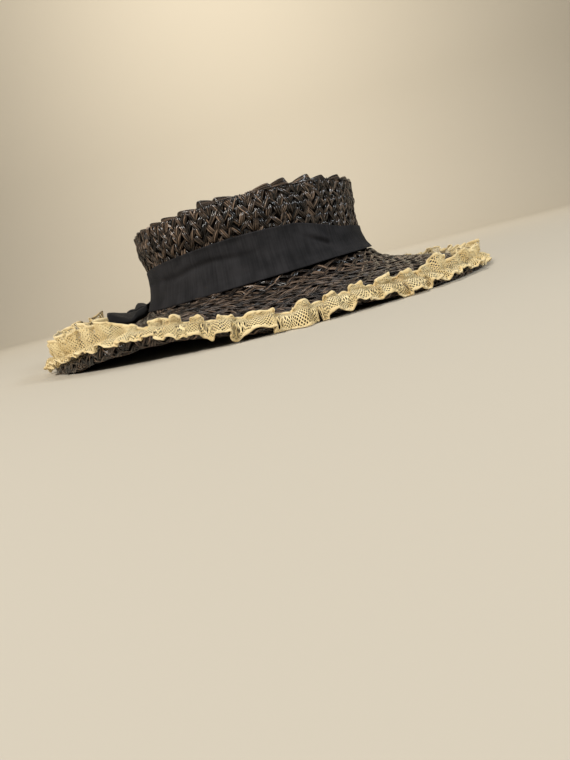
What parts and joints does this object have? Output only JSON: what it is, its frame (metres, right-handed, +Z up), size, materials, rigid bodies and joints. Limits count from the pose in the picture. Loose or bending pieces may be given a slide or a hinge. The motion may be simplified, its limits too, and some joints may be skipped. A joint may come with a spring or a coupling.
{
  "type": "boater hat",
  "caption": "Woman's straw boater with a flat-topped crown, a sloping brim, a ribbon band with a flat bow behind and a gathered net frill along the brim's edge.",
  "frame": {"origin": "on the surface that the hat rests on, under the middle of the brim", "axes": "+X towards the front of the hat, +Y towards the wearer's left, +Z up"},
  "size_m": [0.3439, 0.33, 0.0887],
  "materials": {
    "plaited_straw": "brown-black glossy plaited straw, sewn in rows",
    "ribbon": "matt charcoal ribbon with a fine cross rib",
    "cream_net": "cream cotton net with hemmed edges, matt"
  },
  "bodies": {
    "root": {"brim": "plaited_straw", "crown": "plaited_straw", "hatband": "ribbon", "bow_knot": "ribbon", "bow_loop_right": "ribbon", "bow_loop_left": "ribbon", "bow_tail_right": "ribbon", "bow_tail_left": "ribbon", "frill": "cream_net"}
  },
  "joints": []
}
